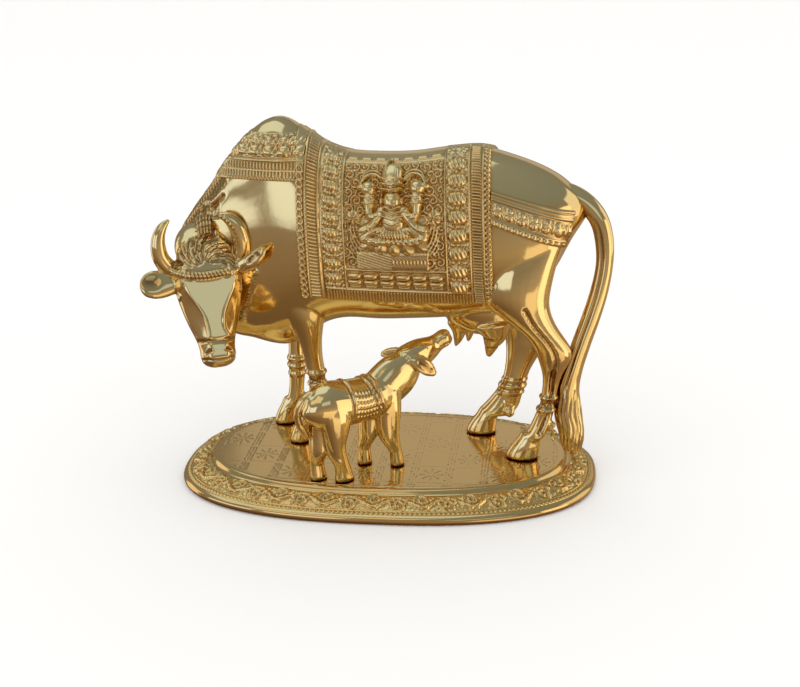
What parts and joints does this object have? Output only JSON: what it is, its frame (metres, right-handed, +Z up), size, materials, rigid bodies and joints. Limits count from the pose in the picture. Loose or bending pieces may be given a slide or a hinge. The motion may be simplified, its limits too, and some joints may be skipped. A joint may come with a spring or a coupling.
{
  "type": "cow and calf statue",
  "caption": "Gold-plated cast figure of a standing humped cow in a worked saddle cloth, her head turned back to the calf that reaches for her udder, both on an oval stepped base",
  "frame": {"origin": "centre of the base's flat underside", "axes": "+X along the base towards the cow's rear, -Y towards the side the cow turns her face to, +Z up"},
  "size_m": [0.1435, 0.0794, 0.1127],
  "materials": {
    "base_gold": "gold plate on a casting, polished plate, the worked band duller and dark in its hollows",
    "polished_gold": "gold plate on a casting, mirror polish on the body, duller with brown recesses in the chased work"
  },
  "bodies": {
    "root": {"base": "base_gold", "cow": "polished_gold", "calf": "polished_gold"}
  },
  "joints": []
}
